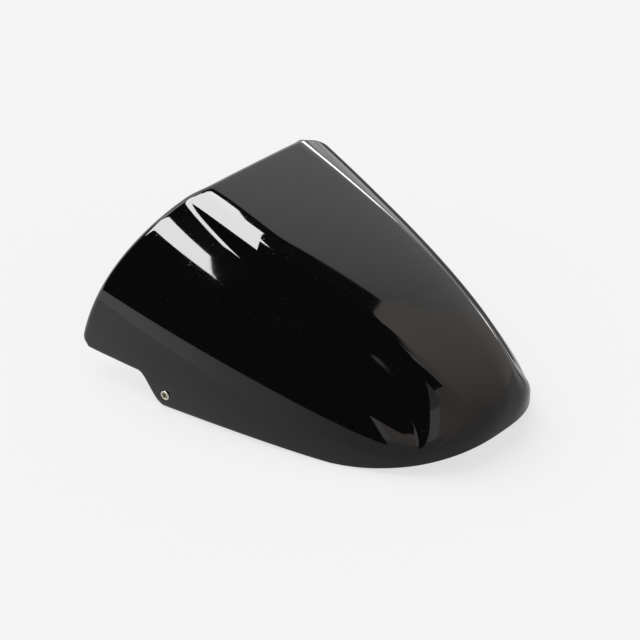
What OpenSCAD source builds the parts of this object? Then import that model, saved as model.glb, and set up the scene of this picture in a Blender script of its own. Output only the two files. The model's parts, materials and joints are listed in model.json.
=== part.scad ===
/* [Body] */
// Length from the front lip to the tip of the tail
body_l = 342; // [300:1:380]
// Width across the lobes at the front
body_w = 311.5; // [280:0.5:340]
// Width halfway along, before the tail rounds off
mid_w = 264.5; // [240:0.5:290]
// Width that the sides aim for at the tail, before it rounds off
tail_w = 152; // [130:1:180]
// Height of the side panels' arch at the front
side_h = 160; // [140:1:175]
// Height of the side panels' arch halfway along
mid_h = 115; // [100:1:130]
// Height that the arch aims for at the tail, before it rounds off
tail_h = 43.5; // [38:0.5:54]
// Fullness of the arch at the front, where 2 is an ellipse and more is boxier
front_fullness = 2.48; // [2.3:0.01:2.7]
// Fullness of the arch at the tail
tail_fullness = 1.76; // [1.6:0.01:2]
// How late the tail rounds off, where more is blunter
tail_bluntness = 9.6; // [8:0.1:12]
// Roundness of the tail's end, where 2 is an ellipse
tail_roundness = 2.57; // [2.3:0.01:2.8]
// Thickness of the moulded wall
wall_t = 3; // [2:0.25:4]

/* [Hump] */
// Distance of each crease from the centre at the front, as a share of half the width
crease_at = 0.467; // [0.43:0.001:0.5]
// The same share at the tail
crease_at_tail = 0.575; // [0.54:0.005:0.61]
// Height of the step above the crease at the front
step_front = 10.5; // [7:0.5:14]
// Height of the step halfway along
step_mid = 26; // [18:0.5:30]
// Height of the step at the tail
step_tail = 34; // [24:1:38]
// Width of the shoulder at the front, from the crease to the top
shoulder_front = 25; // [18:1:30]
// Width of the shoulder at the tail, before it narrows with the body
shoulder_tail = 24; // [20:1:30]
// Rise of the top from its shoulders to its middle at the front
crown_front = 2; // [1:0.5:6]
// Rise of the top at the tail
crown_tail = 10.5; // [4:0.5:14]
// Softness of the crease, as a share of the shoulder's width
crease_softness = 0.14; // [0.08:0.01:0.25]
// How far the hump's front edge leans back past that of the sides
hump_lean = 5.3; // [2:0.1:7]
// How square the hump stands over the tail's lower edge, where more is squarer
hump_square = 5.1; // [4:0.1:7]
// Share of the tail's half circle over which the top and its creases fan out
tail_span = 0.785; // [0.7:0.005:0.85]

/* [Front edge] */
// How far the top of the front edge leans back in a straight line
lean = 39; // [28:0.5:44]
// How far it curves back on top of that
lean_curve = 31.5; // [22:0.5:36]
// Radius of the rolled lip
lip_r = 7; // [5:0.5:9]
// Angle through which the lip rolls
lip_angle = 84; // [60:1:90]
// Radius of the lower front corners
corner_r = 8; // [4:0.5:12]

/* [Lower edge] */
// Height of the front corners above the lobes
corner_h = 25; // [18:0.5:30]
// Where the edge starts to drop to the lobe
lobe_start = 62; // [52:1:68]
// Where it reaches the lobe
lobe_end = 93; // [84:1:106]
// Height of the arch between the lobe and the rear resting point
edge_arch = 2.2; // [0.5:0.1:4]
// Where the rear resting point is, as a share of the length
rear_rest = 0.72; // [0.66:0.01:0.78]
// Height of the edge at the tip of the tail
tail_lift = 19.5; // [14:0.5:24]

/* [Eyelets] */
// Bore of each eyelet, for a 5 mm screw
eyelet_bore = 5.4; // [5.2:0.1:5.8]
// Outside of its barrel
barrel_d = 6.8; // [6.4:0.1:7.2]
// Outside of its flange, and of the rolled end on the inside
flange_d = 8.6; // [8.2:0.1:9.4]
// Thickness of the flange and of the rolled end
flange_t = 0.8; // [0.6:0.1:1]
// Clearance all round the barrel and under each end
eyelet_clearance = 0.04; // [0.03:0.01:0.08]
// Distance of each eyelet from the front
eyelet_x = 99; // [92:0.5:110]
// Height of each eyelet above the ground
eyelet_z = 12; // [9:0.5:16]

/* [Hidden] */
$fn = 48;
half_w = body_w / 2;
skin_l = body_l - lip_r;
// Rows of the mesh: round the lip, up to the lobe, over it, on to the tail, and over the tail
lip_rows = 4;
front_rows = 5;
lobe_rows = 11;
rear_rows = 13;
tail_rows = 13;
body_rows = front_rows + lobe_rows + rear_rows;
// Steps of the mesh from the centre line to one edge: top, shoulder, past the crease, side
top_steps = 5;
shoulder_steps = 8;
crease_steps = 2;
side_steps = 12;
crease_step = top_steps + shoulder_steps;
side_step = crease_step + crease_steps;
half_steps = side_step + side_steps;
// Share of half the width that the steps past the crease take
crease_band = 0.03;
steps = 2 * half_steps;
skin_rows = body_rows + tail_rows;
rows = lip_rows + skin_rows;
// Where the rows change from straight sections to the tail's own pattern
tail_start = 0.72;
// Share of the tail's half circle at which the lower edge of the side meets the last row
side_span = 0.92;
// How much the tail's rows crowd towards its lower edge, and how late its columns bend down
tail_crowding = 2.2;
tail_bend = 1.4;
// Steps round the rounded rim
rim_steps = 4;
// Share of the length over which the corners round off
corner_reach = 0.1;
// Margin of the gathered rows on each side of the lobe's slope
lobe_margin = 8;
// Distance over which the wall's direction is measured
probe = 0.5;
// Smallest value from which the tip's size is worked out
tip_share = 1e-9;

// Value on the curve through a at 0, m halfway and b at 1
function bow(a, m, b, s) = a * (1 - s) * (1 - 2 * s) + 4 * m * s * (1 - s) + b * s * (2 * s - 1);
function clamp(v) = min(1, max(0, v));
function ease(v) = let (t = clamp(v)) t * t * (3 - 2 * t);
function unit(v) = v / norm(v);

// Rounding off of the tail: 1 along the body and next to nothing at the tip
function cap(s) = pow(max(tip_share, 1 - pow(s, tail_bluntness)), 1 / tail_roundness);
function station_of(r) = pow(1 - pow(r, tail_roundness), 1 / tail_bluntness);

// Line on which the sections stand, from the lobes over the arch to the tail's lift
function base_z(s) =
    let (
        a = lobe_end / body_l, t = clamp((s - a) / (rear_rest - a)),
        b = clamp((s - rear_rest) / (1 - rear_rest))
    )
    wall_t / 2 + 4 * edge_arch * t * (1 - t) + tail_lift * b * b;
// Height of the cut edge above that line, which makes the lobes
function edge_rise(s) =
    corner_h * (1 - ease((s * body_l - lobe_start) / (lobe_end - lobe_start)));

function fullness(s) = front_fullness + (tail_fullness - front_fullness) * s;
function section_w(s) = bow(half_w, mid_w / 2, tail_w / 2, s) * cap(s);
function section_h(s) = (bow(side_h, mid_h, tail_h, s) - base_z(s)) * cap(s);
function crease_share(s) = crease_at + (crease_at_tail - crease_at) * s;
function shoulder_share(s) = (shoulder_front + (shoulder_tail - shoulder_front) * s) / half_w;

// Height of the side panels' arch over its base, at the share q of the half width
function arch_share(q, f) = pow(max(0, 1 - pow(q, f)), 1 / f);
// Distance from the section's middle to the arch at a polar angle, for a half width w
function arch_r(angle, w, h, f) =
    1 / pow(pow(abs(sin(angle)) / w, f) + pow(max(0, cos(angle)) / h, f), 1 / f);
// Share of the half width at a polar angle
function share_of(angle, w, h, f) = min(1, arch_r(angle, w, h, f) * abs(sin(angle)) / w);
// Polar angle at which a section of half width w reaches the share q
function angle_of(q, w, h, f) = atan2(q * w, h * arch_share(q, f));
// Polar angle of the cut edge
function edge_angle(s) =
    let (w = section_w(s), h = section_h(s), f = fullness(s), k = clamp(edge_rise(s) / h))
    atan2(w * arch_share(k, f), k * h);

// Point of a section in its own plane: the arch, with the hump laid over its middle.
// The hump reads its place from across, the share of the half width that the column keeps
function section_point(s, angle, across) =
    let (
        w = section_w(s), h = section_h(s), f = fullness(s), c = cap(s),
        r = arch_r(angle, w, h, f), m = min(s, tail_start), qc = crease_share(m),
        t = (qc - across) / shoulder_share(m),
        soft = clamp((t + sqrt(t * t + crease_softness * crease_softness)) / 2),
        on = 1 - pow(1 - soft, 2.2),
        rise = h * arch_share(qc, f) + bow(step_front, step_mid, step_tail, s) * c
            + (crown_front + (crown_tail - crown_front) * s) * c * (1 - pow(across / qc, 2)),
        top = rise * arch_share(abs(sin(angle)), hump_square)
    )
    [
        sign(angle) * share_of(angle, w, h, f) * w,
        base_z(s) + max(0, r * cos(angle)) * (1 - on) + top * on,
        on
    ];

// Point of the outer skin at the station s, from 0 at the front to 1 at the tail
function skin_point(s, angle, across) =
    let (
        p = section_point(s, angle, across), z = p[1],
        up = (z - corner_h - corner_r) / side_h,
        dip = clamp((corner_r - (z - base_z(s) - edge_rise(s))) / corner_r),
        leaning = (lean * up + lean_curve * up * abs(up) + hump_lean * p[2]) * pow(1 - s, 3),
        corner = corner_r * (1 - sqrt(1 - dip * dip)) * clamp(1 - s / corner_reach)
    )
    [lip_r + s * skin_l + leaning + corner - body_l / 2, p[0], z];

// Share of the half width at an angle of the section at s
function share_at(s, angle) = share_of(angle, section_w(s), section_h(s), fullness(s));

// Angle at the step j of a section, with steps gathered at the shoulder and one on the crease
function step_angle(s, j) =
    let (
        k = abs(j - half_steps), w = section_w(s), h = section_h(s), f = fullness(s),
        qc = crease_share(s), a = angle_of(qc - shoulder_share(s), w, h, f),
        b = angle_of(qc, w, h, f), d = angle_of(qc + crease_band, w, h, f), e = edge_angle(s),
        m = k <= top_steps ? a * k / top_steps
            : k <= crease_step ? a + (b - a) * (k - top_steps) / shoulder_steps
            : k <= side_step ? b + (d - b) * (k - crease_step) / crease_steps
            : d + (e - d) * (k - side_step) / side_steps
    )
    j < half_steps ? -m : m;

// Station of row i along the body, with rows gathered at the lobe
gather_from = (lobe_start - lobe_margin) / body_l;
gather_to = (lobe_end + lobe_margin) / body_l;
function row_station(i) =
    i <= front_rows ? gather_from * i / front_rows
    : i <= front_rows + lobe_rows
        ? gather_from + (gather_to - gather_from) * (i - front_rows) / lobe_rows
    : gather_to + (tail_start - gather_to) * (i - front_rows - lobe_rows) / rear_rows;

// Where step k from the middle meets the tail's lower edge, as a share of the half circle
function fan_share(k) =
    k <= crease_step ? tail_span * k / crease_step
    : tail_span + (side_span - tail_span) * (k - crease_step) / (half_steps - crease_step);

// Point of the skin in row i: straight sections first, then rows that bend round the tail
function grid_point(i, j) =
    i <= body_rows
        ? let (s = row_station(i), a = step_angle(s, j)) skin_point(s, a, share_at(s, a))
        : let (
            t = 1 - pow(1 - (i - body_rows) / tail_rows, tail_crowding), mu = pow(t, tail_bend),
            a = step_angle(tail_start, j), c = cap(tail_start), out = c * abs(sin(a)),
            fan = fan_share(abs(j - half_steps)), side = sign(j - half_steps),
            s = tail_start + (station_of(fan) - tail_start) * t,
            across = t == 1 ? 1 : (out + (fan - out) * mu) / (c + (fan - c) * mu)
        )
        skin_point(s, side * asin(min(1, across)), share_at(tail_start, a));

grid = [for (i = [0 : skin_rows]) [for (j = [0 : steps]) grid_point(i, j)]];

// Outward direction of the skin, from the points diagonally around
function normal_at(i, j) =
    let (
        a = max(0, i - 1), b = min(skin_rows, i + 1), c = max(0, j - 1), d = min(steps, j + 1),
        n = cross(grid[b][d] - grid[a][c], grid[a][d] - grid[b][c])
    )
    unit(n);

skin_normals = [for (i = [0 : skin_rows]) [for (j = [0 : steps]) normal_at(i, j)]];

// Forward direction along the skin at the front edge, square to the outward one
function forward_at(j) =
    let (n = skin_normals[0][j], d = grid[0][j] - grid[1][j])
    unit(d - (d * n) * n);

// Outer skin with its lip, as pairs of a point and its outward direction
outer = [
    for (i = [0 : lip_rows - 1])
        let (angle = lip_angle * (lip_rows - i) / lip_rows)
        [for (j = [0 : steps])
            let (n = skin_normals[0][j], t = forward_at(j))
            [
                grid[0][j] + lip_r * (sin(angle) * t - (1 - cos(angle)) * n),
                cos(angle) * n + sin(angle) * t
            ]],
    for (i = [0 : skin_rows])
        [for (j = [0 : steps]) [grid[i][j], skin_normals[i][j]]]
];

// Direction in which the wall ends: back along the lip at the front, down at the lower edge
function end_direction(i, j) =
    let (
        n = outer[i][j][1],
        down = unit([0, 0, -1] + n.z * n),
        front = unit(outer[0][j][0] - outer[1][j][0]),
        inward = unit(front - (front * n) * n)
    )
    i > 0 ? down : (j == 0 || j == steps) ? unit(down + inward) : inward;

// Grid places round the open edge of the shell, in order
border = concat(
    [for (j = [0 : steps - 1]) [0, j]],
    [for (i = [0 : rows - 1]) [i, steps]],
    [for (j = [steps : -1 : 1]) [rows, j]],
    [for (i = [rows : -1 : 1]) [i, 0]]
);
per_row = steps + 1;
skin_count = (rows + 1) * per_row;
border_count = len(border);

shell_points = concat(
    [for (row = outer) for (p = row) p[0]],
    [for (row = outer) for (p = row) p[0] - wall_t * p[1]],
    [for (k = [1 : rim_steps - 1]) for (at = border)
        let (
            p = outer[at[0]][at[1]], angle = 180 * k / rim_steps,
            middle = p[0] - wall_t / 2 * p[1]
        )
        middle + wall_t / 2 * (cos(angle) * p[1] + sin(angle) * end_direction(at[0], at[1]))]
);

// Number of the point in rim row k, where the first row is the outer skin and the last the inner
function rim_index(k, m) =
    let (n = m % border_count, place = border[n][0] * per_row + border[n][1])
    k == 0 ? place
        : k == rim_steps ? skin_count + place
        : 2 * skin_count + (k - 1) * border_count + n;

shell_faces = concat(
    [for (i = [0 : rows - 1]) for (j = [0 : steps - 1]) for (h = [0, 1])
        let (a = i * per_row + j, b = a + 1, c = a + per_row, d = c + 1)
        h == 0 ? [a, b, c] : [b, d, c]],
    [for (i = [0 : rows - 1]) for (j = [0 : steps - 1]) for (h = [0, 1])
        let (a = skin_count + i * per_row + j, b = a + 1, c = a + per_row, d = c + 1)
        h == 0 ? [c, b, a] : [c, d, b]],
    [for (k = [0 : rim_steps - 1]) for (m = [0 : border_count - 1]) for (h = [0, 1])
        let (
            a = rim_index(k, m), b = rim_index(k, m + 1),
            c = rim_index(k + 1, m), d = rim_index(k + 1, m + 1)
        )
        h == 0 ? [a, c, b] : [b, c, d]]
);

// Place of the left eyelet on the skin, found from its distance and height
eyelet_s = (eyelet_x - lip_r) / skin_l;
eyelet_rise = eyelet_z - base_z(eyelet_s);
function eyelet_skin(dx, dz) =
    let (
        s = eyelet_s + dx / skin_l, h = section_h(s), w = section_w(s), f = fullness(s),
        k = (eyelet_rise + dz) / h
    )
    skin_point(s, -atan2(w * arch_share(k, f), k * h), 1);
eyelet_at = eyelet_skin(0, 0);
eyelet_out = unit(cross(
    eyelet_skin(probe, 0) - eyelet_skin(-probe, 0),
    eyelet_skin(0, probe) - eyelet_skin(0, -probe)
));
eyelet_yaw = atan2(eyelet_out.y, eyelet_out.x);
eyelet_tilt = acos(eyelet_out.z);

// Puts a child that points up onto the skin, on the left side (-1) or the right (1)
module at_eyelet(side) {
    mirror([0, side > 0 ? 1 : 0, 0])
        translate(eyelet_at)
            rotate([0, eyelet_tilt, eyelet_yaw])
                children();
}

module cowl_shell() {
    color("#141416")
        difference() {
            polyhedron(points = shell_points, faces = shell_faces, convexity = 6);
            for (side = [-1, 1])
                at_eyelet(side)
                    translate([0, 0, -3 * wall_t])
                        cylinder(d = barrel_d + 2 * eyelet_clearance, h = 5 * wall_t);
        }
}

// Flanged eyelet: barrel through the wall, flat flange outside, rolled end inside
module eyelet() {
    color("#c9c6bd")
        rotate_extrude()
            polygon([
                [eyelet_bore / 2, -wall_t - eyelet_clearance - flange_t],
                [flange_d / 2, -wall_t - eyelet_clearance - flange_t],
                [flange_d / 2, -wall_t - eyelet_clearance],
                [barrel_d / 2, -wall_t - eyelet_clearance],
                [barrel_d / 2, eyelet_clearance],
                [flange_d / 2, eyelet_clearance],
                [flange_d / 2, eyelet_clearance + flange_t * 0.6],
                [flange_d / 2 - flange_t * 0.4, eyelet_clearance + flange_t],
                [eyelet_bore / 2, eyelet_clearance + flange_t]
            ]);
}

module eyelet_left() {
    at_eyelet(-1) eyelet();
}

module eyelet_right() {
    at_eyelet(1) eyelet();
}

cowl_shell();
eyelet_left();
eyelet_right();
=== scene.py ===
import json
import math

import bpy
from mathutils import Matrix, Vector


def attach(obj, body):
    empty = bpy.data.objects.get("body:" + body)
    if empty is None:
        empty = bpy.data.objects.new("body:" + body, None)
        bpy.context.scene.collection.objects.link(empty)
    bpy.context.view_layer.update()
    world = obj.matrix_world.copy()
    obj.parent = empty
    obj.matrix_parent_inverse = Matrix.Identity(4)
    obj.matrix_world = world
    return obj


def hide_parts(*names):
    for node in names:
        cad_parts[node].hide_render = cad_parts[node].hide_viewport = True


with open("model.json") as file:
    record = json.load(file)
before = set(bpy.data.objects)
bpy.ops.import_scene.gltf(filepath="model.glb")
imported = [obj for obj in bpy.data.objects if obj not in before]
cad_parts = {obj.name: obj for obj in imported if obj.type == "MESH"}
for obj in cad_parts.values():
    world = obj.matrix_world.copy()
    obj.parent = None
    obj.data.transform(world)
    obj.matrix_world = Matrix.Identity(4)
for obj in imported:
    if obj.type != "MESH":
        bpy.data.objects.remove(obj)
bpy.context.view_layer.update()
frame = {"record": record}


# ---------------------------------------------------------------- cowl shell
# The whole cowl is one injection moulding of black ABS, 3 mm thick, that hooks
# over the rear seat pan. Its outside is sprayed and polished to a deep gloss;
# the mould leaves a rolled lip in front, a hump between two creases, and a
# lobe on each side for its screw.

def add_node(tree, kind, inputs=None, **settings):
    """Adds a node, applies its settings, and fills its inputs with values or links."""
    made = tree.nodes.new(kind)
    for name, value in settings.items():
        setattr(made, name, value)
    for place, value in (inputs or {}).items():
        value = getattr(value, "socket", value)
        if isinstance(value, bpy.types.NodeSocket):
            tree.links.new(value, made.inputs[place])
        else:
            made.inputs[place].default_value = value
    return made


class Term:
    """A number or vector in a node tree, so that the shape's formulas read as on paper."""

    def __init__(self, socket):
        self.socket = socket

    def do(self, operation, *others):
        vector = self.socket.type == "VECTOR"
        kind = "ShaderNodeVectorMath" if vector else "ShaderNodeMath"
        values = dict(enumerate((self, *others)))
        if operation == "SCALE":
            values = {0: self, "Scale": others[0]}
        made = add_node(self.socket.id_data, kind, values, operation=operation)
        return Term(made.outputs[1 if operation in ("DOT_PRODUCT", "LENGTH") else 0])

    def __add__(self, other):
        return self.do("ADD", other)

    def __sub__(self, other):
        return self.do("SUBTRACT", other)

    def __mul__(self, other):
        return self.do("SCALE" if self.socket.type == "VECTOR" else "MULTIPLY", other)

    def __truediv__(self, other):
        return self.do("DIVIDE", other)

    def __pow__(self, other):
        return self.do("POWER", other)

    def __rsub__(self, other):
        return self.do("MULTIPLY_ADD", -1, other)

    def __rtruediv__(self, other):
        return self.do("POWER", -1) * other

    __radd__ = __add__
    __rmul__ = __mul__

    def within(self, low=0, high=1):
        return self.do("MAXIMUM", low).do("MINIMUM", high)


# Millimetres, and shares of the length or of the half width, as in the part's source
shell_sizes = {
    "Length": 342,
    "Front width": 311.5, "Middle width": 264.5, "Tail width": 152,
    "Front height": 160, "Middle height": 115, "Tail height": 43.5,
    "Front fullness": 2.48, "Tail fullness": 1.76,
    "Tail bluntness": 9.6, "Tail roundness": 2.57,
    "Wall": 3,
    "Crease at front": 0.467, "Crease at tail": 0.575, "Crease softness": 0.14,
    "Step at front": 10.5, "Step in middle": 26, "Step at tail": 34,
    "Shoulder at front": 25, "Shoulder at tail": 24,
    "Crown at front": 2, "Crown at tail": 10.5,
    "Hump lean": 5.3, "Hump squareness": 5.1,
    "Lean": 39, "Lean curve": 31.5,
    "Lip radius": 7, "Lip turn": math.radians(84), "Corner radius": 8,
    "Corner height": 25, "Lobe start": 62, "Lobe end": 93,
    "Edge arch": 2.2, "Rear rest": 0.72, "Tail lift": 19.5,
}
tail_start = 0.72
tail_crowding = 2.2
tail_bend = 1.4
tip_rounding = 0.0003
corner_reach = 0.1
crease_band = 0.03
shoulder_swell = 2.2
# Where the tail's lower edge meets the shoulder's start, the crease and the side, as shares
# of its half circle, and how softly the columns turn at the first two
shoulder_fan, crease_fan, side_fan = 0.302, 0.796, 0.92
shoulder_turn, crease_turn = 0.1, 0.02
# Rows of the mesh over the lip, the body and the tail, and columns from the middle to
# one edge over the top, the shoulder, the crease and the side
lip_rows, body_rows, tail_rows = 12, 112, 48
top_columns, shoulder_columns, crease_columns, side_columns = 26, 30, 8, 44
rows = lip_rows + body_rows + tail_rows
half_columns = top_columns + shoulder_columns + crease_columns + side_columns
# Distance in rows and columns over which the skin's direction is measured
body_probe, tail_probe, column_probe = 0.25, 1.5, 0.25
# In the tail it is measured this far in from the lower edge, because at the mesh's corners
# the row and the column both run along that edge
inward_probe = 3


def new_group(name, numbers, results, geometry=()):
    """Starts a node group with an input for each number, and gives it with its inputs."""
    tree = bpy.data.node_groups.new(name, "GeometryNodeTree")
    for label in geometry:
        tree.interface.new_socket(label, in_out="INPUT", socket_type="NodeSocketGeometry")
    for label, value in numbers.items():
        socket = tree.interface.new_socket(label, in_out="INPUT", socket_type="NodeSocketFloat")
        socket.default_value = value
    for label, kind in results.items():
        tree.interface.new_socket(label, in_out="OUTPUT", socket_type=kind)
    entry = add_node(tree, "NodeGroupInput")
    return tree, {label: Term(entry.outputs[label]) for label in (*geometry, *numbers)}


def bow(front, middle, tail, s):
    """Curve through a value at the front, one halfway and one at the tail."""
    return (
        front * (1 - s) * (1 - 2 * s) + 4 * middle * s * (1 - s) + tail * s * (2 * s - 1)
    )


# Group that gives the point of the outer skin for a row and a column of the mesh
skin_tree, size = new_group(
    "Cowl skin", {"Row": 0, "Column": 0, **shell_sizes}, {"Point": "NodeSocketVector"}
)
length, wall = size["Length"], size["Wall"]
bluntness, roundness = size["Tail bluntness"], size["Tail roundness"]


def base_z(s):
    lobe = size["Lobe end"] / length
    t = ((s - lobe) / (size["Rear rest"] - lobe)).within()
    b = ((s - size["Rear rest"]) / (1 - size["Rear rest"])).within()
    return wall / 2 + 4 * size["Edge arch"] * t * (1 - t) + size["Tail lift"] * b * b


def edge_rise(s):
    t = ((s * length - size["Lobe start"]) / (size["Lobe end"] - size["Lobe start"])).within()
    return size["Corner height"] * (1 - t * t * (3 - 2 * t))


def section(s, rounding):
    """Half width, height and fullness of the section at a station."""
    w = bow(size["Front width"] / 2, size["Middle width"] / 2, size["Tail width"] / 2, s)
    h = bow(size["Front height"], size["Middle height"], size["Tail height"], s) - base_z(s)
    f = size["Front fullness"] + (size["Tail fullness"] - size["Front fullness"]) * s
    return w * rounding, h * rounding, f


def arch(share, f):
    """Height of a rounded arch of height 1 over a share of its half width."""
    return (1 - share ** f).do("MAXIMUM", 0) ** (1 / f)


def arch_radius(angle, w, h, f):
    aside = (angle.do("SINE").do("ABSOLUTE") / w) ** f
    upward = (angle.do("COSINE").do("MAXIMUM", 0) / h) ** f
    return (aside + upward) ** (-1 / f)


def angle_of(share, w, h, f):
    return (share * w).do("ARCTAN2", h * arch(share, f))


def crease_share(s):
    return size["Crease at front"] + (size["Crease at tail"] - size["Crease at front"]) * s


def shoulder_share(s):
    wide = size["Shoulder at front"] + (size["Shoulder at tail"] - size["Shoulder at front"]) * s
    return wide / (size["Front width"] / 2)


def hinge(x, softness):
    """Nothing below 0 and x above it, with a soft turn between."""
    return (x + (x * x + softness * softness).do("SQRT")) / 2


def step_angle(s, rounding, steps):
    """Polar angle of a column, counted in steps over top, shoulder, crease and side."""
    w, h, f = section(s, rounding)
    crease = crease_share(s)
    low = (edge_rise(s) / h).within()
    stops = [
        angle_of(crease - shoulder_share(s), w, h, f),
        angle_of(crease, w, h, f),
        angle_of(crease + crease_band, w, h, f),
        (w * arch(low, f)).do("ARCTAN2", low * h),
    ]
    angle, before = steps[0] * stops[0], stops[0]
    for step, stop in zip(steps[1:], stops[1:]):
        angle, before = angle + step * (stop - before), stop
    return angle


column = size["Column"]
side = column.do("SIGN")
steps, count = [], column.do("ABSOLUTE")
for columns in (top_columns, shoulder_columns, crease_columns, side_columns):
    steps.append((count / columns).within())
    count = count - columns

# Body rows keep straight sections; tail rows bend round to the lower edge
body_part = ((size["Row"] - lip_rows) / body_rows).within()
tail_part = ((size["Row"] - lip_rows - body_rows) / tail_rows).within()
s = body_part * tail_start
body_rounding = (1 - s ** bluntness) ** (1 / roundness)
angle = step_angle(s, body_rounding, steps)
w, h, f = section(s, body_rounding)
share = (arch_radius(angle, w, h, f) * angle.do("SINE") / w).within()

crease = crease_share(tail_start)
shoulder = crease - shoulder_share(tail_start)
slopes = (
    shoulder_fan / shoulder,
    (crease_fan - shoulder_fan) / (crease - shoulder),
    (side_fan - crease_fan) / (1 - crease),
)
fan = slopes[0] * share
for stop, softness, change in (
    (shoulder, shoulder_turn, slopes[1] - slopes[0]),
    (crease, crease_turn, slopes[2] - slopes[1]),
):
    fan = fan + change * (hinge(share - stop, softness) - hinge(0 - stop, softness))
left = (1 - tail_part) ** tail_crowding
done = 1 - left
bend = done ** tail_bend
outward = body_rounding * angle.do("SINE")
end_station = (1 - fan ** roundness) ** (1 / bluntness)
back = (end_station - tail_start) * left
tail_s = end_station - back
gap = 1 - (1 - back / end_station) ** bluntness
tail_rounding = (fan ** roundness + end_station ** bluntness * gap) ** (1 / roundness)
tail_rounding = tail_rounding.do("MAXIMUM", tip_rounding)
across = (outward + (fan - outward) * bend) / (body_rounding + (fan - body_rounding) * bend)
across = across.do("MAXIMUM", done.do("GREATER_THAN", 0.999999)).within()
in_tail = tail_part.do("GREATER_THAN", 0)
s = s + (tail_s - s) * in_tail
rounding = body_rounding + (tail_rounding - body_rounding) * in_tail
angle = (angle + (across.do("ARCSINE") - angle) * in_tail) * side

# The section's arch, with the hump laid over its middle
w, h, f = section(s, rounding)
radius = arch_radius(angle, w, h, f)
marked = s.do("MINIMUM", tail_start)
crease = crease_share(marked)
t = (crease - share) / shoulder_share(marked)
soft = hinge(t, size["Crease softness"]).within()
on = 1 - (1 - soft) ** shoulder_swell
crown = size["Crown at front"] + (size["Crown at tail"] - size["Crown at front"]) * s
step_up = bow(size["Step at front"], size["Step in middle"], size["Step at tail"], s)
rise = h * arch(crease, f) + rounding * (step_up + crown * (1 - (share / crease) ** 2))
top = rise * arch(angle.do("SINE").do("ABSOLUTE"), size["Hump squareness"])
z = base_z(s) + (radius * angle.do("COSINE")).do("MAXIMUM", 0) * (1 - on) + top * on

# The front edge leans back towards the top, and its lower corners are rounded
up = (z - size["Corner height"] - size["Corner radius"]) / size["Front height"]
dip = 1 - (z - base_z(s) - edge_rise(s)) / size["Corner radius"]
dip = dip.within()
lean = size["Lean"] * up + size["Lean curve"] * up * up.do("ABSOLUTE") + size["Hump lean"] * on
corner = size["Corner radius"] * (1 - (1 - dip * dip).do("SQRT")) * (1 - s / corner_reach).within()
x = size["Lip radius"] + s * (length - size["Lip radius"]) + lean * (1 - s) ** 3 + corner
point = add_node(
    skin_tree, "ShaderNodeCombineXYZ", {0: x - length / 2, 1: radius * angle.do("SINE"), 2: z}
)
add_node(skin_tree, "NodeGroupOutput", {"Point": point.outputs[0]})

# The cowl itself: the skin, its lip, the screw holes, the rounded rim and the inside
rim_steps = 8
hole_radius, cut_radius, hole_reach = 3.9, 2.9, 7
left_mount = frame["record"]["mounts"][0]
hole_out = Vector(left_mount["axis"])
hole_at = Vector(left_mount["pos_m"]) * 1000 + hole_out * shell_sizes["Wall"] / 2

cowl_tree, size = new_group(
    "Cowl shell", shell_sizes, {"Geometry": "NodeSocketGeometry"}, geometry=("Geometry",)
)
wall, lip_radius = size["Wall"], size["Lip radius"]
grid = add_node(cowl_tree, "GeometryNodeMeshGrid", {
    "Size X": rows, "Size Y": 2 * half_columns,
    "Vertices X": rows + 1, "Vertices Y": 2 * half_columns + 1,
}).outputs["Mesh"]
position = Term(add_node(cowl_tree, "GeometryNodeInputPosition").outputs[0])
place = add_node(cowl_tree, "ShaderNodeSeparateXYZ", {0: position})
row = Term(place.outputs[0]) + rows / 2
column = Term(place.outputs[1])


def skin_at(row, column):
    values = {label: size[label] for label in shell_sizes}
    made = add_node(
        cowl_tree, "GeometryNodeGroup", {"Row": row, "Column": column, **values},
        node_tree=skin_tree,
    )
    return Term(made.outputs["Point"])


def attribute(name):
    return Term(add_node(
        cowl_tree, "GeometryNodeInputNamedAttribute", {"Name": name}, data_type="FLOAT_VECTOR"
    ).outputs["Attribute"])


def store(geometry, name, value):
    return add_node(
        cowl_tree, "GeometryNodeStoreNamedAttribute",
        {"Geometry": geometry, "Name": name, "Value": value}, data_type="FLOAT_VECTOR",
    ).outputs["Geometry"]


skin_row = row.do("MAXIMUM", lip_rows)
forward = skin_row.do("LESS_THAN", rows - tail_rows / 2)
row_step = forward * (body_probe + tail_probe) - tail_probe
leftward = column.do("LESS_THAN", 0)
column_step = leftward * (2 * column_probe) - column_probe
skin = skin_at(skin_row, column)
past_body = skin_row.do("GREATER_THAN", lip_rows + body_rows)
probe_row = skin_row.do("MINIMUM", rows - inward_probe)
probe_column = column.do("ABSOLUTE").do("MINIMUM", half_columns - past_body * inward_probe)
probe_column = probe_column * column.do("SIGN")
probed = skin_at(probe_row, probe_column)
along = (skin_at(probe_row + row_step, probe_column) - probed) * row_step.do("SIGN")
aside = (skin_at(probe_row, probe_column + column_step) - probed) * column_step.do("SIGN")
out = along.do("CROSS_PRODUCT", aside).do("NORMALIZE")
ahead = along.do("NORMALIZE") * -1

turn = size["Lip turn"] * (1 - row / lip_rows).within()
sine, cosine = turn.do("SINE"), turn.do("COSINE")
lip = ahead * (sine * lip_radius) - out * ((1 - cosine) * lip_radius)
lip_out = out * cosine + ahead * sine
front_end = ahead * cosine - out * sine
down_end = (lip_out * lip_out.do("DOT_PRODUCT", (0, 0, 1)) + (0, 0, -1)).do("NORMALIZE")
at_front = row.do("LESS_THAN", 0.5)
at_edge = column.do("ABSOLUTE").do("GREATER_THAN", half_columns - 0.5).do(
    "MAXIMUM", row.do("GREATER_THAN", rows - 0.5)
)
wall_end = (front_end * at_front + down_end * at_edge).do("NORMALIZE")
shell = store(grid, "wall_out", lip_out)
shell = store(shell, "wall_end", wall_end)
shell = add_node(
    cowl_tree, "GeometryNodeSetPosition", {"Geometry": shell, "Position": skin + lip}
).outputs["Geometry"]

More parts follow.
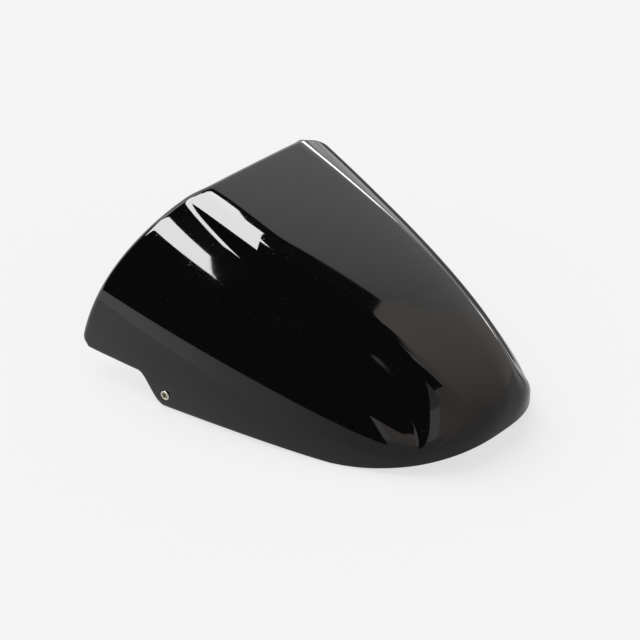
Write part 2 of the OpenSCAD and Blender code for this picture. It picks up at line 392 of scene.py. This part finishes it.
# Screw holes: the right one mirrors the left
height_across = Term(place.outputs[1])
leftmost = add_node(cowl_tree, "ShaderNodeCombineXYZ", {
    0: Term(place.outputs[0]), 1: height_across.do("ABSOLUTE") * -1, 2: Term(place.outputs[2]),
})
from_hole = Term(leftmost.outputs[0]) - tuple(hole_at)
radial = from_hole - Term(add_node(
    cowl_tree, "ShaderNodeVectorMath",
    {0: tuple(hole_out), "Scale": from_hole.do("DOT_PRODUCT", tuple(hole_out))},
    operation="SCALE",
).outputs[0])
from_axis = radial.do("LENGTH")
shell = add_node(
    cowl_tree, "GeometryNodeDeleteGeometry",
    {"Geometry": shell, "Selection": from_axis.do("LESS_THAN", cut_radius)}, domain="FACE",
).outputs["Geometry"]
faces_beside = Term(add_node(cowl_tree, "GeometryNodeInputMeshEdgeNeighbors").outputs[0])
open_edge = faces_beside.do("LESS_THAN", 1.5)
near_hole = from_axis.do("LESS_THAN", hole_reach)
push = add_node(cowl_tree, "ShaderNodeSeparateXYZ", {
    0: radial.do("NORMALIZE") * (hole_radius - from_axis),
})
push = add_node(cowl_tree, "ShaderNodeCombineXYZ", {
    0: push.outputs[0],
    1: Term(push.outputs[1]) * height_across.do("SIGN") * -1,
    2: push.outputs[2],
})
on_hole = add_node(
    cowl_tree, "GeometryNodeFieldOnDomain", {0: open_edge}, data_type="FLOAT", domain="EDGE"
)
shell = add_node(cowl_tree, "GeometryNodeSetPosition", {
    "Geometry": shell,
    "Selection": Term(on_hole.outputs[0]).do("GREATER_THAN", 0) * near_hole,
    "Offset": push.outputs[0],
}).outputs["Geometry"]
shell = store(shell, "wall_end", attribute("wall_end") * (1 - near_hole))
shell = store(shell, "wall_place", position)

# Rim: the open edge is drawn out in steps round half a circle
outside, edge = shell, open_edge
middle = attribute("wall_place") - attribute("wall_out") * (wall / 2)
for step in range(1, rim_steps + 1):
    swing = math.pi * step / rim_steps
    drawn = add_node(
        cowl_tree, "GeometryNodeExtrudeMesh",
        {"Mesh": outside, "Selection": edge, "Offset Scale": 0}, mode="EDGES",
    )
    reach = attribute("wall_out") * math.cos(swing) + attribute("wall_end") * math.sin(swing)
    edge = drawn.outputs["Top"]
    outside = add_node(cowl_tree, "GeometryNodeSetPosition", {
        "Geometry": drawn.outputs["Mesh"], "Selection": edge,
        "Position": middle + reach * (wall / 2),
    }).outputs["Geometry"]

inside = add_node(cowl_tree, "GeometryNodeSetPosition", {
    "Geometry": shell, "Offset": attribute("wall_out") * wall * -1,
}).outputs["Geometry"]
inside = add_node(cowl_tree, "GeometryNodeFlipFaces", {0: inside}).outputs[0]
inside = add_node(
    cowl_tree, "GeometryNodeStoreNamedAttribute",
    {"Geometry": inside, "Name": "inner_face", "Value": True}, data_type="BOOLEAN",
    domain="FACE",
).outputs["Geometry"]
joined = add_node(cowl_tree, "GeometryNodeJoinGeometry")
for part in (inside, outside):
    cowl_tree.links.new(part, joined.inputs[0])
merged = add_node(
    cowl_tree, "GeometryNodeMergeByDistance", {0: joined.outputs[0], "Distance": 0.004}
)
metres = add_node(
    cowl_tree, "GeometryNodeTransform", {0: merged.outputs[0], "Scale": (0.001,) * 3}
)
smooth = add_node(cowl_tree, "GeometryNodeSetShadeSmooth", {0: metres.outputs[0]})
real = add_node(cowl_tree, "GeometryNodeRealizeInstances", {0: smooth.outputs[0]})


def srgb(hex_code):
    """Linear colour of an sRGB hex value."""
    values = [int(hex_code[i:i + 2], 16) / 255 for i in (1, 3, 5)]
    linear = [v / 12.92 if v <= 0.04045 else ((v + 0.055) / 1.055) ** 2.4 for v in values]
    return (*linear, 1)


def new_material(name):
    """Starts a material and gives it with its node tree and its Principled shader."""
    made = bpy.data.materials.new(name)
    made.use_nodes = True
    return made, made.node_tree, made.node_tree.nodes["Principled BSDF"]


# Two-pack gloss black over ABS, sprayed and polished: a mirror over a deep black, with
# faint orange peel 5 mm across, dust, and hairlines from wiping
paint_black, dust_grey = srgb("#070707"), srgb("#8d8a84")
gloss_paint, tree, shader = new_material("Polished black two-pack paint on ABS")
shader.inputs["IOR"].default_value = 1.5
where = add_node(tree, "ShaderNodeTexCoord").outputs["Object"]
peel = add_node(
    tree, "ShaderNodeTexNoise", {"Vector": where, "Scale": 200, "Detail": 1}
).outputs["Fac"]
wave = add_node(
    tree, "ShaderNodeTexNoise", {"Vector": where, "Scale": 30, "Detail": 0}
).outputs["Fac"]
smudge = add_node(
    tree, "ShaderNodeTexNoise", {"Vector": where, "Scale": 18, "Detail": 5, "Distortion": 0.6}
).outputs["Fac"]
along_wipe = add_node(
    tree, "ShaderNodeMapping",
    {"Vector": where, "Rotation": (0.4, 0.35, 0.9), "Scale": (45, 1900, 1900)},
).outputs["Vector"]
hairline = add_node(
    tree, "ShaderNodeTexNoise", {"Vector": along_wipe, "Scale": 1, "Detail": 0}
).outputs["Fac"]
hairline = Term(add_node(tree, "ShaderNodeMapRange", {
    "Value": hairline, "From Min": 0.815, "From Max": 0.85,
}).outputs["Result"])
speck = add_node(
    tree, "ShaderNodeTexVoronoi", {"Vector": where, "Scale": 130}, feature="F1"
)
chance = add_node(tree, "ShaderNodeSeparateXYZ", {0: speck.outputs["Color"]}).outputs[0]
dust = Term(speck.outputs["Distance"]).do("LESS_THAN", 0.03) * Term(
    chance).do("GREATER_THAN", 0.93)
polish = add_node(tree, "ShaderNodeMapRange", {
    "Value": smudge, "From Min": 0.35, "From Max": 0.75, "To Min": 0.03, "To Max": 0.075,
}).outputs["Result"]
polish = Term(polish) + dust * 0.4 + hairline * 0.15
tree.links.new(polish.socket, shader.inputs["Roughness"])
dusty = add_node(tree, "ShaderNodeMix", {
    "Factor": dust * 0.5 + hairline * 0.08, 6: paint_black, 7: dust_grey,
}, data_type="RGBA")
tree.links.new(dusty.outputs[2], shader.inputs["Base Color"])
height = Term(peel) * 0.12 + Term(wave) + hairline * -0.3
bump = add_node(
    tree, "ShaderNodeBump", {"Height": height, "Distance": 0.00002, "Strength": 1}
)
tree.links.new(bump.outputs["Normal"], shader.inputs["Normal"])

# Bare moulded ABS inside: matt charcoal with the 0.5 mm grain of the sparked mould
bare_abs, tree, shader = new_material("Sparked charcoal ABS inside")
shader.inputs["Roughness"].default_value = 0.55
where = add_node(tree, "ShaderNodeTexCoord").outputs["Object"]
grain = add_node(
    tree, "ShaderNodeTexNoise", {"Vector": where, "Scale": 2000, "Detail": 2}
).outputs["Fac"]
flow = add_node(
    tree, "ShaderNodeTexNoise", {"Vector": where, "Scale": 14, "Detail": 4}
).outputs["Fac"]
shade = add_node(
    tree, "ShaderNodeMix", {"Factor": flow, 6: srgb("#161617"), 7: srgb("#232325")},
    data_type="RGBA",
)
tree.links.new(shade.outputs[2], shader.inputs["Base Color"])
bump = add_node(
    tree, "ShaderNodeBump", {"Height": grain, "Distance": 0.0002, "Strength": 0.4}
)
tree.links.new(bump.outputs["Normal"], shader.inputs["Normal"])

painted = add_node(
    cowl_tree, "GeometryNodeSetMaterial", {"Geometry": real.outputs[0], "Material": gloss_paint}
)
is_inner = add_node(
    cowl_tree, "GeometryNodeInputNamedAttribute", {"Name": "inner_face"}, data_type="BOOLEAN"
)
lined = add_node(cowl_tree, "GeometryNodeSetMaterial", {
    "Geometry": painted.outputs[0], "Selection": is_inner.outputs[0], "Material": bare_abs,
})
add_node(cowl_tree, "NodeGroupOutput", {"Geometry": lined.outputs[0]})


def grown(name, tree, numbers):
    """Runs a tree with its numbers on an empty object and gives the result as a plain mesh."""
    seed = bpy.data.objects.new(name, bpy.data.meshes.new(name))
    bpy.context.scene.collection.objects.link(seed)
    modifier = seed.modifiers.new("Growth", "NODES")
    modifier.node_group = tree
    for item in tree.interface.items_tree:
        if item.item_type == "SOCKET" and item.in_out == "INPUT" and item.name in numbers:
            modifier[item.identifier] = float(numbers[item.name])
    evaluated = seed.evaluated_get(bpy.context.evaluated_depsgraph_get())
    mesh = bpy.data.meshes.new_from_object(evaluated)
    seed.modifiers.remove(modifier)
    seed.data = mesh
    while mesh.materials and mesh.materials[0] is None:
        mesh.materials.pop(index=0)
    return seed


cowl_shell = grown("painted_cowl", cowl_tree, shell_sizes)
for name in ("wall_out", "wall_end", "wall_place", "inner_face"):
    cowl_shell.data.attributes.remove(cowl_shell.data.attributes[name])
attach(cowl_shell, "root")
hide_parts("cowl_shell")


# ------------------------------------------------------------- screw eyelets
# A flanged eyelet of bright nickelled brass is pressed through each lobe and
# rolled over inside, so that the 5 mm fairing screw doesn't split the wall.

eyelet_profile = [
    (4.30, 0.05), (4.30, 0.35), (4.20, 0.60), (3.98, 0.77), (3.68, 0.84), (3.30, 0.83),
    (3.00, 0.74), (2.80, 0.56), (2.71, 0.30), (2.70, 0.00), (2.70, -3.10), (2.74, -3.40),
    (2.86, -3.64), (3.06, -3.79), (3.34, -3.84), (3.70, -3.82), (4.02, -3.70), (4.22, -3.48),
    (4.30, -3.24), (4.26, -3.05), (3.42, -3.04), (3.40, 0.04),
]
eyelet_facets = 72
# Edges of the profile that lie in the bore
bore_edges = range(8, 12)

# Nickel over brass, rolled by the press: bright and slightly dulled by handling
nickel, tree, shader = new_material("Dulled nickel on pressed brass")
shader.inputs["Base Color"].default_value = srgb("#d2cdc0")
shader.inputs["Metallic"].default_value = 1
where = add_node(tree, "ShaderNodeTexCoord").outputs["Object"]
haze = add_node(
    tree, "ShaderNodeTexNoise", {"Vector": where, "Scale": 900, "Detail": 3}
).outputs["Fac"]
dulled = add_node(
    tree, "ShaderNodeMapRange", {"Value": haze, "To Min": 0.22, "To Max": 0.42}
).outputs["Result"]
tree.links.new(dulled, shader.inputs["Roughness"])

# Inside the bore the plating is dull and stained, and its colour is set darker than the flange's
# nickel as painted shade inside the hole
stained_and_shaded_bore, tree, shader = new_material("Stained brass bore with painted shade")
shader.inputs["Metallic"].default_value = 1
where = add_node(tree, "ShaderNodeTexCoord").outputs["Object"]
stain = add_node(
    tree, "ShaderNodeTexNoise", {"Vector": where, "Scale": 1400, "Detail": 3}
).outputs["Fac"]
# Both tones of the mottle are darker than the nickel: painted shade in the hole
mottle_and_painted_shade = add_node(
    tree, "ShaderNodeMix", {"Factor": stain, 6: srgb("#948f7a"), 7: srgb("#b6b19c")},
    data_type="RGBA",
)
tree.links.new(mottle_and_painted_shade.outputs[2], shader.inputs["Base Color"])
worn = add_node(
    tree, "ShaderNodeMapRange", {"Value": stain, "To Min": 0.5, "To Max": 0.72}
).outputs["Result"]
tree.links.new(worn, shader.inputs["Roughness"])

for side_name, mount in zip(("left", "right"), frame["record"]["mounts"]):
    axis = Vector(mount["axis"])
    skin_spot = Vector(mount["pos_m"]) + axis * shell_sizes["Wall"] / 2000
    turned = axis.to_track_quat("Z", "Y").to_matrix()
    points, faces = [], []
    count = len(eyelet_profile)
    for facet in range(eyelet_facets):
        spin = math.tau * facet / eyelet_facets
        for reach, height in eyelet_profile:
            local = Vector((reach * math.cos(spin), reach * math.sin(spin), height)) / 1000
            points.append(skin_spot + turned @ local)
        for k in range(count):
            here, beside = facet * count, (facet + 1) % eyelet_facets * count
            after = (k + 1) % count
            faces.append((here + k, here + after, beside + after, beside + k))
    mesh = bpy.data.meshes.new(f"{side_name}_screw_eyelet")
    mesh.from_pydata(points, [], faces)
    mesh.materials.append(nickel)
    mesh.materials.append(stained_and_shaded_bore)
    # Faces in the bore take the darker material, which paints the shade inside the hole
    for number, face in enumerate(mesh.polygons):
        face.material_index = int(number % count in bore_edges)
    mesh.shade_smooth()
    eyelet = bpy.data.objects.new(mesh.name, mesh)
    bpy.context.scene.collection.objects.link(eyelet)
    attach(eyelet, "root")
    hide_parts(f"eyelet_{side_name}")


# --------------------------------------------------------------------- stage
# Pale seamless floor under an even studio light. Softboxes, black flags and pale
# cards stand round it, as round any glossy thing, and only reflections see them.

studio_white = "#f6f6f6"
floor_reach = 40
shadow_kept = 0.25
pale_floor, tree, shader = new_material("Pale matt studio floor")
shader.inputs["Base Color"].default_value = srgb(studio_white)
shader.inputs["Roughness"].default_value = 1
shader.inputs["Specular IOR Level"].default_value = 0
rays = add_node(tree, "ShaderNodeLightPath")
white = add_node(tree, "ShaderNodeEmission", {"Color": srgb(studio_white)})
by_camera = Term(rays.outputs["Is Camera Ray"]) * (1 - shadow_kept)
in_gloss = Term(rays.outputs["Is Glossy Ray"]).do("MAXIMUM", rays.outputs["Is Transmission Ray"])
# In reflections the floor fades to half its brightness towards the tail: painted shade of the
# floor round the cowl
where = add_node(tree, "ShaderNodeTexCoord").outputs["Object"]
lengthways = add_node(tree, "ShaderNodeSeparateXYZ", {0: where}).outputs[0]
reflected_floor_shade = Term(add_node(tree, "ShaderNodeMapRange", {
    "Value": lengthways, "From Min": -0.3, "From Max": 0.25, "To Min": 1, "To Max": 0.5,
}).outputs["Result"])
tree.links.new((1 - in_gloss * (1 - reflected_floor_shade)).socket, white.inputs["Strength"])
mixed = add_node(tree, "ShaderNodeMixShader", {
    0: by_camera.do("MAXIMUM", in_gloss), 1: shader.outputs[0], 2: white.outputs[0],
})
tree.links.new(mixed.outputs[0], tree.nodes["Material Output"].inputs["Surface"])


def staged(name, points, faces, surface):
    """A mesh of the set, which isn't part of the object."""
    mesh = bpy.data.meshes.new(name)
    mesh.from_pydata(points, [], faces)
    mesh.materials.append(surface)
    made = bpy.data.objects.new(name, mesh)
    bpy.context.scene.collection.objects.link(made)
    return made


staged("studio_floor", [
    (x * floor_reach, y * floor_reach, 0) for x, y in ((-1, -1), (1, -1), (1, 1), (-1, 1))
], [(0, 1, 2, 3)], pale_floor)

world = bpy.data.worlds.new("Pale studio")
bpy.context.scene.world = world
world.use_nodes = True
tree = world.node_tree
sky = tree.nodes["Background"]
rays = add_node(tree, "ShaderNodeLightPath")
seen = Term(rays.outputs["Is Camera Ray"]).do("MAXIMUM", rays.outputs["Is Glossy Ray"])
seen = seen.do("MAXIMUM", rays.outputs["Is Transmission Ray"])
sky.inputs["Color"].default_value = srgb(studio_white)
sky_light = 0.5
tree.links.new((seen * (1 - sky_light) + sky_light).socket, sky.inputs["Strength"])


def towards(azimuth, elevation):
    """Direction at an azimuth from +X towards +Y and an elevation, in degrees."""
    a, e = math.radians(azimuth), math.radians(elevation)
    return Vector((math.cos(a) * math.cos(e), math.sin(a) * math.cos(e), math.sin(e)))


key_data = bpy.data.lights.new("overhead_key", "SUN")
key_data.angle = math.radians(60)
key_data.energy = 1.75
key = bpy.data.objects.new("overhead_key", key_data)
bpy.context.scene.collection.objects.link(key)
key.rotation_euler = towards(-175, 62).to_track_quat("Z", "Y").to_euler()


def reflected(name, points, faces, tint="#ffffff"):
    """Card that only reflections see, given with its node tree and its shader."""
    surface, tree, shader = new_material(name)
    shader.inputs["Base Color"].default_value = (0, 0, 0, 1)
    shader.inputs["Specular IOR Level"].default_value = 0
    shader.inputs["Emission Color"].default_value = srgb(tint)
    made = staged(name, points, faces, surface)
    made.visible_camera = made.visible_diffuse = made.visible_shadow = False
    made.visible_transmission = made.visible_volume_scatter = False
    return made, tree, shader


def panel(name, corners, glow):
    """Flat card of one glow, given by its corners in millimetres."""
    points = [Vector(corner) / 1000 for corner in corners]
    shader = reflected(name, points, [range(len(points))])[-1]
    shader.inputs["Emission Strength"].default_value = glow


card_bands = 12


def card(name, stations, distance, tint="#ffffff"):
    """Curved card round the set through stations of azimuth, low and high elevation,
    and glow at low and at high."""
    points, faces, glows = [], [], []
    per_station = card_bands + 1
    for number, (azimuth, low, high, low_glow, high_glow) in enumerate(stations):
        for band in range(per_station):
            part = band / card_bands
            points.append(towards(azimuth, low + (high - low) * part) * distance)
            glows.append(low_glow + (high_glow - low_glow) * part)
        if number:
            a, b = (number - 1) * per_station, number * per_station
            faces += [(a + k, b + k, b + k + 1, a + k + 1) for k in range(card_bands)]
    made, tree, shader = reflected(name, points, faces, tint)
    made.data.attributes.new("glow", "FLOAT", "POINT").data.foreach_set("value", glows)
    glow = add_node(tree, "ShaderNodeAttribute", attribute_name="glow")
    tree.links.new(glow.outputs["Fac"], shader.inputs["Emission Strength"])


# Black flags: one hangs beside the near side, one overhead with its edge askew, and one lies flat
# beside the tail.
# A dark sheet lying on the floor beyond the far side is painted shadow of the cowl, seen only in
# reflections
dark, floor_shadow_glow = 0.03, 0.12
panel("near_black_flag", [(x, -240, z) for x, z in (
    (-1000, 80), (200, 80), (160, 300), (160, 700), (-1000, 700),
)], dark)
panel("overhead_black_flag", [(x, y, 4000) for x, y in (
    (-2400, -3600), (2200, -3600), (100, 1900), (-2400, 1900),
)], dark)
panel("tail_black_flag", [(x, y, 110) for x, y in (
    (30, -75), (185, -85), (185, -150), (30, -150),
)], dark)
# Painted shadow: the cowl's shadow on the floor beyond its far side, as reflections see it
panel("far_floor_painted_shadow", [(x, y, 2) for x, y in (
    (-600, 800), (170, 160), (-170, 155), (-600, 155),
)], floor_shadow_glow)

# Softboxes over the front of the near side, and a strip light low on the far side
softbox_glow = 18
panel("side_softbox", [(x, y, 300) for x, y in (
    (-260, -140), (-80, -160), (-70, -210), (-260, -240),
)], softbox_glow)
panel("shoulder_softbox", [(x, -76, z) for x, z in (
    (-120, 157), (-45, 138), (-70, 300), (-140, 300),
)], softbox_glow)
panel("top_softbox", [(x, y, 300) for x, y in (
    (-150, -100), (-150, -30), (-110, -30), (-85, -100),
)], softbox_glow)
card("far_strip_light", [(88, 4, 16, 9, 9), (105, 4, 16, 9, 9), (125, 4, 16, 9, 9)], 4.5)

# Pale cards that the paint mirrors as grey: cool in front, warm behind the tail, and a
# low one round the near side that darkens towards the tail
card("cool_backdrop", [
    (87, 0, 84, 0.95, 0.85), (120, 0, 84, 1.25, 1.2), (150, 0, 84, 1.35, 1.3),
    (180, 0, 84, 1.25, 1.2),
], 4.6)
card("warm_backdrop", [
    (-60, 3, 90, 0.5, 1.2), (0, 1, 90, 0.5, 1.3), (30, 0, 90, 0.5, 1.3),
    (60, 0, 90, 0.6, 1.3), (87, 0, 90, 0.85, 1.2),
], 4.6, "#fff4ec")
card("low_pale_card", [
    (-190, -8, 40, 1.3, 1.3), (-150, -8, 25, 1.3, 1.3), (-115, -8, 22, 1.2, 1.2),
    (-100, -8, 22, 0.8, 0.8), (-70, -8, 22, 0.45, 0.45), (-40, -8, 22, 0.45, 0.45),
], 0.8)


# -------------------------------------------------------------------- camera
# A long lens from behind the tail's left side, a little above it.

view_azimuth, view_elevation = math.radians(47.586), math.radians(33.249)
view_distance, pixels_per_mm = 1.72826, 1.17439
target = Vector((0, 0, 0.06))
target_pixel = (348.46, 311.18)
rightward = Vector((math.sin(view_azimuth), math.cos(view_azimuth), 0))
backward = Vector((
    math.cos(view_azimuth) * math.cos(view_elevation),
    -math.sin(view_azimuth) * math.cos(view_elevation),
    math.sin(view_elevation),
))
upward = backward.cross(rightward)
camera_data = bpy.data.cameras.new("photo_camera")
camera_data.sensor_width = 36
camera_data.lens = pixels_per_mm * view_distance * 1000 * camera_data.sensor_width / 640
camera_data.clip_start = 0.1
camera_data.clip_end = 200
camera = bpy.data.objects.new("photo_camera", camera_data)
bpy.context.scene.collection.objects.link(camera)
camera.location = target + backward * view_distance
aim = (
    target - rightward * (target_pixel[0] - 320) / pixels_per_mm / 1000
    + upward * (target_pixel[1] - 320) / pixels_per_mm / 1000
)
camera.rotation_euler = (camera.location - aim).to_track_quat("Z", "Y").to_euler()
bpy.context.scene.camera = camera
bpy.context.scene.view_settings.view_transform = "Standard"
